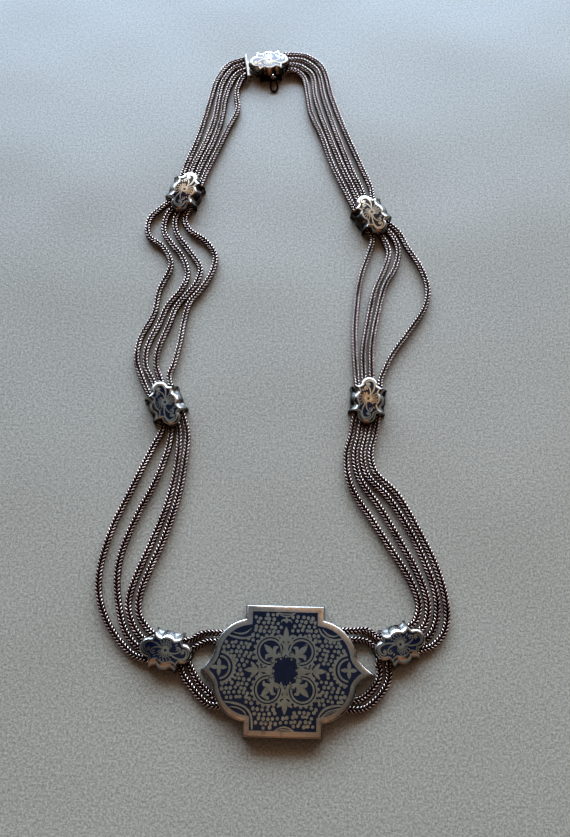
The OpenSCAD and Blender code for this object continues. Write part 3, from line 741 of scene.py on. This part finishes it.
def slideOrnament():
    work = Ornament(slideSurface)
    for heading, length in petals:
        turn = math.radians(heading)
        spot = (0.45 * math.cos(turn), 0.42 * math.sin(turn))
        work.leaf(*spot, heading, length - 0.35, 0.62, 2)
        work.leaf(spot[0] * 2.4, spot[1] * 2.4, heading, length - 1.25, 0.24, 4, 0)
    work.disc(0, 0, 1.0, 3, count=28)
    work.disc(0, 0, 0.36, 5, 0)
    for sign in (1, -1):
        for line, widths in scrolls:
            work.stroke([(sign * x, sign * y) for x, y in line], widths, 6)
        work.disc(-sign * 4.42, -sign * 0.22, 0.5, 7)
        curl = ((4.85, -0.5), (4.8, 0.05), (4.35, 0.12), (4.2, -0.3))
        work.stroke([(-sign * x, sign * y) for x, y in curl], [0.05, 0.12, 0.08], 9, 0)
        for x, y, heading in ((-2.6, -0.5, 200), (-2.5, -1.0, 214), (-2.2, -1.45, 228)):
            work.leaf(sign * x, sign * y, heading + (0 if sign > 0 else 180), 0.85, 0.34, 2)
        for x, y in ((0.03, -2.42), (0.88, -2.22), (1.66, -1.86), (-0.8, -2.35)):
            work.disc(sign * x, sign * y, 0.19, 3, count=12)
    return work


def makeSlidePanel(name, station, trim, replaced, black=niello):
    outline = slideOutline(slideSeat, trim, slide["panelGap"])
    finishPanel(name, slideOrnament(), outline, slide["panelZ"], station, replaced, black)


def makeSlide(key, station):
    wide, reach = slide["tunnelW"] / 2, slide["tunnelReach"]
    tunnel = [((-reach, -wide, slide["floor"]), (reach, wide, slide["tunnelTop"]))]
    makeSlideCase("slide_" + key + "_case", station, 0, tunnel, ["slide_" + key])
    makeSlidePanel("slide_" + key + "_figures", station, 0, ["slide_" + key + "_niello"])


for key, station in stations.items():
    makeSlide(key, station)
print("six slides made")

# Clasp: a slide-shaped box, a tongue with its end plate, and a small ring on an eye
clasp = {"trim": 0.4, "mouthW": 6.0, "mouthZ": 0.8, "endWall": 0.7}
# Its niello is given a pale blue-grey colour, a painted reflection of the sky, and is hazed all over by a
# clear film
skyPaleNiello = dict(nielloLook, name="niello_painted_sky_pale", deep="#5e6a7e", worn="#768294", smooth=0.16,
                    rough=0.3, shine=1.0, film=1.0)
# The end plate has greyed evenly, so the low tone, which on the other walls is tarnish and painted shade,
# covers all of it here
greyedSilver = dict(wornSilver, tarnishAndShade="#b4aca2", tarnishAndShadeLowMm=8, tarnishAndShadeHighMm=9)


def makeClaspBox():
    reach, wall = slide["wallReach"] + clasp["trim"], clasp["endWall"]
    mouth, low, high = clasp["mouthW"] / 2, clasp["mouthZ"], slide["lobeZ"]
    # the mouth in the end wall, and the room behind it
    cuts = [((-reach - 1, -mouth, low), (wall + 0.2 - reach, mouth, high)),
            ((wall - reach, -mouth - 0.3, low), (reach - wall - 0.5, mouth + 0.3, high))]
    makeSlideCase("clasp_case", claspStation, clasp["trim"], cuts, ["clasp_box"])
    makeSlidePanel("clasp_figures", claspStation, clasp["trim"], ["clasp_niello"],
                   makeNiello(skyPaleNiello))


def tubePoints(path, radius, sides):
    p = np.array(path, float)
    way = np.roll(p, -1, axis=0) - np.roll(p, 1, axis=0)
    way /= np.linalg.norm(way, axis=1)[:, None]
    across = np.cross(way, (0, 0, 1))
    across /= np.linalg.norm(across, axis=1)[:, None]
    upward = np.cross(across, way)
    return np.array([p[i] + radius * (math.cos(a) * across[i] + math.sin(a) * upward[i])
                     for i in range(len(p)) for a in fullTurn(sides)])


ring = {"wire": 0.6, "topR": 0.75, "lowR": 1.15, "length": 4.4}
eyeSpot = (0.6, -5.55, 2.75)


def makeRing():
    span = ring["length"] - ring["topR"] - ring["lowR"]
    lean = math.degrees(math.asin((ring["lowR"] - ring["topR"]) / span))
    low = arcPoints((0, -ring["topR"] - span), ring["lowR"], 180 - lean, 360 + lean, 24)
    top = arcPoints((0, -ring["topR"]), ring["topR"], lean, 180 - lean, 18)
    flat = np.vstack([low, top])
    tilt = math.asin((eyeSpot[2] - ring["wire"] / 2 - 0.05) / ring["length"])
    path = [(eyeSpot[0] + x, eyeSpot[1] + y * math.cos(tilt), eyeSpot[2] + y * math.sin(tilt))
            for x, y in flat]
    sides = 12
    points = tubePoints(path, ring["wire"] / 2, sides)
    faces = bandFaces(len(path), sides, closed=True)
    makePiece("clasp_small_ring", placed(points, claspStation) * mm, faces, [silver],
              ["clasp_ring"], sharp=60)


def makeEye():
    # a flat eye: an annulus of sheet, let into the near wall
    profile = [(0.5, -0.19), (0.5, 0.19), (0.56, 0.25), (0.88, 0.25), (0.95, 0.18), (0.95, -0.18),
               (0.88, -0.25), (0.56, -0.25)]
    around = fullTurn(32)
    points = [(eyeSpot[0] + w, eyeSpot[1] + r * math.cos(a), eyeSpot[2] + r * math.sin(a))
              for a in around for r, w in profile]
    faces = bandFaces(len(around), len(profile), closed=True)
    makePiece("clasp_eye", placed(points, claspStation) * mm, faces, [silver], [])


def finishTongue():
    # the tongue keeps the solid's own shape
    tongue = cadNodes["clasp_tongue"].data
    tongue.materials.clear()
    tongue.materials.append(makeWornSilver("silver_tarnished_plate", greyedSilver))


makeClaspBox()
makeRing()
makeEye()
finishTongue()
print("clasp made")

# Plaque: a cartouche with square tabs, round shoulders and side points, mm
plaque = {"width": 44, "length": 32, "tab": 20, "height": 4.5, "rim": 1.6, "dome": 0.6, "shiftY": 0.3,
          "shoulder": (8.3, 2.5), "shoulderR": 10.1, "shoulderFromDeg": 8, "pointBend": (3.3, 2.3),
          "lean": (0.9, -0.5), "domeFromZ": 1.8, "domeRiseZ": 2.1, "panelZ": 3.95,
          "panelDrop": 0.06, "panelGap": 0.02,
          "pockets": ((-1, 8), (-1, -7.5), (1, 9.4), (1, -7.6)), "pocketX": (12, 24),
          "pocketW": 4.75, "pocketZ": (0.45, 2.95)}


def plaqueQuarter():
    tip = (plaque["width"] / 2, 0)
    tabX = plaque["tab"] / 2
    end = math.degrees(math.acos((tabX - plaque["shoulder"][0]) / plaque["shoulderR"]))
    shoulder = arcPoints(plaque["shoulder"], plaque["shoulderR"], plaque["shoulderFromDeg"], end, 26)
    bendX, bendY = plaque["pointBend"]
    point = bendPoints(tip, (tip[0] - bendX, bendY), shoulder[0], 10)
    tab = [(tabX, plaque["length"] / 2), (0, plaque["length"] / 2)]
    return np.vstack([[tip], point, shoulder[1:], tab])


def plaqueOutline(inset):
    q = plaqueQuarter()
    before = np.vstack([q[0] - q[1] * (1, -1), np.diff(q, axis=0)])
    after = np.vstack([np.diff(q, axis=0), (-1, 0)])
    a = np.column_stack([-before[:, 1], before[:, 0]]) / np.linalg.norm(before, axis=1)[:, None]
    b = np.column_stack([-after[:, 1], after[:, 0]]) / np.linalg.norm(after, axis=1)[:, None]
    q = q + inset * (a + b) / (1 + (a * b).sum(axis=1))[:, None]
    kept = 1 + int(np.argmax(q[1:, 1] > 0.02))
    if kept > 1:
        # points that crossed at the tip are spread along the rest of the line
        ahead = q[kept + 1] - q[kept]
        start = q[kept] - ahead * q[kept, 1] / ahead[1]
        q[:kept] = start + (q[kept] - start) * np.linspace(0, 1, kept + 1)[:-1, None]
    whole = allRound(q)
    tips = np.minimum(1, np.abs(whole[:, :1]) * 2 / plaque["width"])**8
    return whole + tips * plaque["lean"] + (0, plaque["shiftY"])


def plaqueDrop(y):
    return plaque["dome"] * ((y - plaque["shiftY"]) / (plaque["length"] / 2))**2


def makePlaqueCase():
    # inset and height round the side, over the rim and down to the panel's seat
    profile = [(-0.22, 0), (-0.3, 0.08), (-0.3, 0.5), (-0.24, 0.64), (-0.18, 1.0), (-0.1, 1.6),
               (-0.04, 2.4), (0, 3.4), (0, 4.0), (0.02, 4.2), (0.08, 4.3), (0.2, 4.38), (0.45, 4.43),
               (0.8, 4.46), (1.2, 4.49), (1.6, 4.5), (1.6, 4.02)]
    levels = []
    for inset, height in profile:
        outline = plaqueOutline(inset)
        share = min(1, max(0, (height - plaque["domeFromZ"]) / plaque["domeRiseZ"]))
        levels.append(np.column_stack([outline, height - share * plaqueDrop(outline[:, 1])]))
    points, faces = loft(levels)
    piece = makePiece("plaque_frame", points * mm, faces, [silver], ["plaque_case"])
    # two pockets a side take the chains
    cuts, wide, (low, high) = [], plaque["pocketW"] / 2, plaque["pocketZ"]
    for sign, y in plaque["pockets"]:
        left, right = sorted(sign * x for x in plaque["pocketX"])
        cuts.append(((left, y - wide, low), (right, y + wide, high)))
    cutAway(piece, cuts, (0, 0, 0))


makePlaqueCase()


def plaqueSurface(x, y):
    return (x, y, plaque["height"] - plaque["panelDrop"] - plaqueDrop(y))


# Where the plaque's figures lie, mm: its middle, the four roundels and the two half roundels
figures = {"middle": (0.35, 0.25), "upperX": 3.95, "lowerX": 4.4, "roundY": 4.65, "halfX": 16.5,
           "halfY": 0.7}


def inside(x, y, outline):
    hit = False
    for (ax, ay), (bx, by) in zip(outline, np.roll(outline, 1, axis=0)):
        if (ay > y) != (by > y) and x < ax + (bx - ax) * (y - ay) / (by - ay):
            hit = not hit
    return hit


def addRoundel(work, x, y, heading):
    spot = turned(x, y, heading)
    for angle in range(-110, 111, 20):
        u, v = math.cos(math.radians(angle)), math.sin(math.radians(angle))
        work.disc(*spot(3.95 * u, 3.95 * v), 0.45, 1, count=12)
    for radius, layer, kind, count in ((3.85, 2, 1, 56), (3.45, 3, 0, 56), (3.1, 4, 1, 56),
                                       (2.65, 5, 0, 52)):
        work.disc(x, y, radius, layer, kind, count)
    # the rings open on the inner diagonal, where the lily grows from the silver
    work.figure([spot(u, v) for u, v in ((-2.0, -0.3), (-2.7, -0.7), (-3.7, -1.2), (-4.8, 0), (-3.7, 1.2),
                                         (-2.7, 0.7), (-2.0, 0.3))][::-1], 6)
    work.leaf(*spot(-1.3, 0), heading, 3.6, 1.5, 7)
    work.stroke([spot(-3.0, 0), spot(-2.0, 0), spot(-0.9, 0)], [1.8, 1.5, 0.8], 7)
    petal = ((-1.5, 0.1), (-0.75, 0.8), (-0.3, 1.45), (-0.75, 2.15))
    curl = ((-1.75, 1.1), (-1.85, 1.65), (-2.4, 1.75), (-2.65, 1.35), (-2.35, 1.15))
    for side in (-1, 1):
        work.stroke([spot(u, side * v) for u, v in petal], [0.55, 0.8, 1.0, 0.35], 7, blunt=False)
        work.disc(*spot(-2.3, side * 1.35), 0.74, 8, 1, 24)
        work.stroke([spot(u, side * v) for u, v in curl], [0.2, 0.28, 0.24, 0.2, 0.1], 9, 0)


def addFleur(work, x, y, heading, reach):
    spot = turned(x, y, heading)
    work.stroke([spot(3.2, 0), spot(5.4, 0), spot(7.6, 0)], [2.6, 1.0, 0.6], 6)
    work.leaf(*spot(7.0, 0), heading, reach - 7.0, 1.35, 7)
    for side in (-1, 1):
        for line, widths in ((((7.0, 0.1), (7.7, 0.6), (8.2, 1.2), (8.8, 1.95)), [0.6, 0.95, 0.85, 0.3]),
                             (((6.4, 0.2), (6.6, 1.0), (7.0, 1.6), (7.5, 1.5)), [0.45, 0.5, 0.5, 0.4])):
            work.stroke([spot(u, side * v) for u, v in line], widths, 7)


def addHalfRoundel(work, x, y, side):
    start, end = (90, 270) if side > 0 else (-90, 90)
    for angle in range(start + 14, end - 13, 15):
        turn = math.radians(angle)
        work.disc(x + 4.12 * math.cos(turn), y + 4.12 * math.sin(turn), 0.42, 1, count=12)
    work.band(x, y, 3.78, 0.6, start + 6, end - 6, 3)
    work.band(x, y, 2.7, 0.5, start + 4, end - 4, 3)
    for heading, size in ((0, 2.1), (90, 2.15), (180, 2.25), (270, 2.15)):
        work.leaf(x, y, heading, size, 1.05, 4)
    work.disc(x, y, 0.62, 5)


# Silver pearls set by hand in loose staggered rows, some run into their neighbours
pearls = {"rows": (-13, 15), "columns": (-17, 18), "gapX": 1.22, "gapY": 1.1, "strayX": 0.2,
          "strayY": 0.17, "radius": (0.4, 0.49), "squash": (0.9, 1.2), "clear": 0.2, "edge": 0.62,
          "joinWithin": 1.02, "joinShare": 0.5, "seed": 12}


def addGround(work, field, busy):
    rng = random.Random(pearls["seed"])
    strayX, strayY, clear = pearls["strayX"], pearls["strayY"], pearls["clear"]
    thrown = []
    for row in range(*pearls["rows"]):
        for column in range(*pearls["columns"]):
            x = (pearls["gapX"] * (column + row % 2 / 2) + 0.25 * math.sin(row * 0.9)
                 + rng.uniform(-strayX, strayX))
            y = pearls["gapY"] * row + 0.3 * math.sin(column * 0.45) + rng.uniform(-strayY, strayY)
            if any(math.hypot(x - u, y - v) < r + clear for u, v, r in busy):
                continue
            if inside(x, y, field):
                thrown.append((x, y))
    for i, (x, y) in enumerate(thrown):
        work.disc(x, y, rng.uniform(*pearls["radius"]), 1, count=14, squash=rng.uniform(*pearls["squash"]))
        near = [(u, v) for u, v in thrown[:i] if math.hypot(x - u, y - v) < pearls["joinWithin"]]
        if near and rng.random() < pearls["joinShare"]:
            work.stroke([(x, y), near[0]], [0.6, 0.5], 2)


def addMiddle(work, busy):
    cx, cy = figures["middle"]
    work.disc(cx, cy, 4.3, 1, count=40)
    for sx, sy, heading in ((1, 1, 45), (-1, 1, 135), (-1, -1, 225), (1, -1, 315)):
        x, y = cx + sx * figures["upperX" if sy > 0 else "lowerX"], cy + sy * figures["roundY"]
        addRoundel(work, x, y, heading)
        busy.append((x, y, 4.3))
    # the dark field in the middle, with pearls along its edge
    work.figure([(cx + x, cy + y) for x, y in (
        (0, 4.0), (0.6, 3.2), (1.9, 3.2), (2.75, 2.9), (2.7, 1.9), (3.0, 1.0), (2.95, -1.0), (2.7, -1.9),
        (2.75, -2.8), (1.9, -3.1), (0.7, -3.3), (0, -4.6), (-0.7, -3.3), (-1.9, -3.1), (-2.8, -2.8),
        (-2.7, -1.9), (-2.95, -1.0), (-2.95, 1.0), (-2.7, 1.9), (-2.8, 2.8), (-1.9, 3.1),
        (-0.6, 3.2))][::-1], 10, 0)
    for x, y in ((-1.2, 2.8), (0.1, 3.3), (1.5, 2.7), (2.8, 0.1), (-2.95, -0.1), (-1.0, -3.0),
                 (0, -3.8), (1.3, -2.9), (-2.4, 2.1), (2.5, -1.7)):
        work.disc(cx + x, cy + y, 0.24, 12, count=10)
    for heading, reach in ((0, 10.6), (90, 10.9), (180, 10.5), (270, 10.6)):
        addFleur(work, cx, cy, heading, reach)
        busy += [turned(cx, cy, heading)(u, 0) + (r,) for u, r in ((6.4, 1.5), (8.2, 2.1), (9.8, 0.9))]
    for side in (-1, 1):
        addHalfRoundel(work, side * figures["halfX"], figures["halfY"], side)
        busy.append((side * figures["halfX"], figures["halfY"], 4.45))


# Lines in the plaque's corners: points, widths along the line, layer, and 1 for silver
hook = [(-15, -7.5), (-13.6, -7.6), (-11.3, -8.0), (-9.3, -8.9), (-8.0, -10.6), (-7.6, -13.9)]
cornerLines = [
    # shoulder lunettes
    ([(8.7, 10.8), (9.6, 9.3), (11.2, 8.35), (13, 8.0), (15, 8.4)], [0.3, 0.55, 0.5, 0.55, 0.3], 3, 1),
    ([(9.6, 10.7), (11, 9.3), (12.6, 8.9), (14, 9.3)], [0.15, 0.45, 0.4, 0.12], 3, 1),
    ([(-15, 8.9), (-13.3, 8.3), (-10.6, 7.9), (-8.6, 8.4), (-7.8, 9.4)], [0.3, 0.5, 0.55, 0.5, 0.3], 3, 1),
    ([(-13.4, 9.4), (-11.6, 9.0), (-10, 9.3), (-8.6, 10.4)], [0.12, 0.4, 0.45, 0.15], 3, 1),
    # the lower right leaf, with a dark vein
    ([(8.7, -11.2), (9.2, -10.0), (10.4, -8.7), (12.2, -8.0), (14.8, -7.7)],
     [0.25, 0.5, 0.6, 0.55, 0.25], 3, 1),
    ([(9.6, -10.6), (11.2, -9.5), (12.8, -8.9), (14.4, -8.3)], [0.2, 0.75, 0.6, 0.15], 3, 1),
    ([(10.4, -10.0), (11.8, -9.3), (13.2, -8.8)], [0.06, 0.22, 0.08], 5, 0),
    # the hook at the lower left, with a second line inside it
    (hook, [0.25, 0.55, 0.5, 0.5, 0.5, 0.4], 3, 1),
    ([(-13.6, -8.7), (-12.4, -8.7), (-11, -9.0), (-9.6, -9.9), (-8.9, -11.3)],
     [0.1, 0.3, 0.3, 0.3, 0.1], 3, 1),
    # three scratches that cut through to bright metal
    ([(4.9, 6.5), (6.1, 6.9)], [0.05, 0.16, 0.05], 14, 1),
    ([(7.2, 7.1), (8.5, 7.2)], [0.05, 0.16, 0.05], 14, 1),
    ([(-4.9, 9.7), (-3.4, 10.2)], [0.05, 0.16, 0.05], 14, 1),
]
# Rounds in the corners that the pearls keep out of: x, y and radius
lunetteRooms = [(9.4, 10.3, 0.9), (10.8, 9.4, 1.2), (12.6, 9, 1.2), (14.3, 8.6, 0.9)]
leafRooms = [(9.6, -10.4, 1.2), (11.0, -9.4, 1.5), (12.8, -8.6, 1.3), (14.4, -8.1, 0.9)]
hookRooms = [(-12.4, -8.3, 1.3), (-10.2, -9.2, 1.3), (-8.1, -12.2, 1.0)]


def addCorners(work, busy):
    for line, widths, layer, kind in cornerLines:
        work.stroke(line, widths, layer, kind)
    for x, y, r in lunetteRooms:
        busy += [(x, y, r), (-x, y - 0.2, r)]
    busy += leafRooms + hookRooms + [(x - 0.4, y - 0.4, 1.3) for x, y in hook]


def addTabs(work, busy):
    # half lenses at the two tabs, and the small crest under the upper one
    cx = figures["middle"][0]
    for y, up, wide in ((14.5, -1, 2.3), (-14.1, 1, 2.5)):
        for depth, width in ((0.95, 0.4), (0.35, 0.28)):
            line = [(cx + x, y + up * depth * (1 - (x / wide)**2))
                    for x in (-wide, -wide / 2, 0, wide / 2, wide)]
            work.stroke(line, [0.2, width, 0.2], 3)
        busy += [(cx - 1.5, y, 0.7), (cx, y + up * 0.3, 1.2), (cx + 1.5, y, 0.7)]
    work.leaf(cx, 11.9, 90, 1.6, 0.7, 4)
    for side in (-1, 1):
        work.stroke([(cx + side * u, v) for u, v in ((0, 12.1), (0.5, 12.7), (1.1, 12.5), (1.3, 12.0))],
                    [0.35, 0.5, 0.45, 0.4], 4)
        work.disc(cx + side * 1.0, 12.2, 0.2, 6, 0, 12)
    busy.append((cx, 12.4, 1.7))


def plaqueOrnament():
    work, busy = Ornament(plaqueSurface), []
    addMiddle(work, busy)
    addCorners(work, busy)
    addTabs(work, busy)
    addGround(work, plaqueOutline(plaque["rim"] + pearls["edge"]), busy)
    return work


finishPanel("plaque_figures", plaqueOrnament(), plaqueOutline(plaque["rim"] + plaque["panelGap"]),
            plaque["panelZ"], (0, 0, 0), ["plaque_niello"])
print("plaque made")
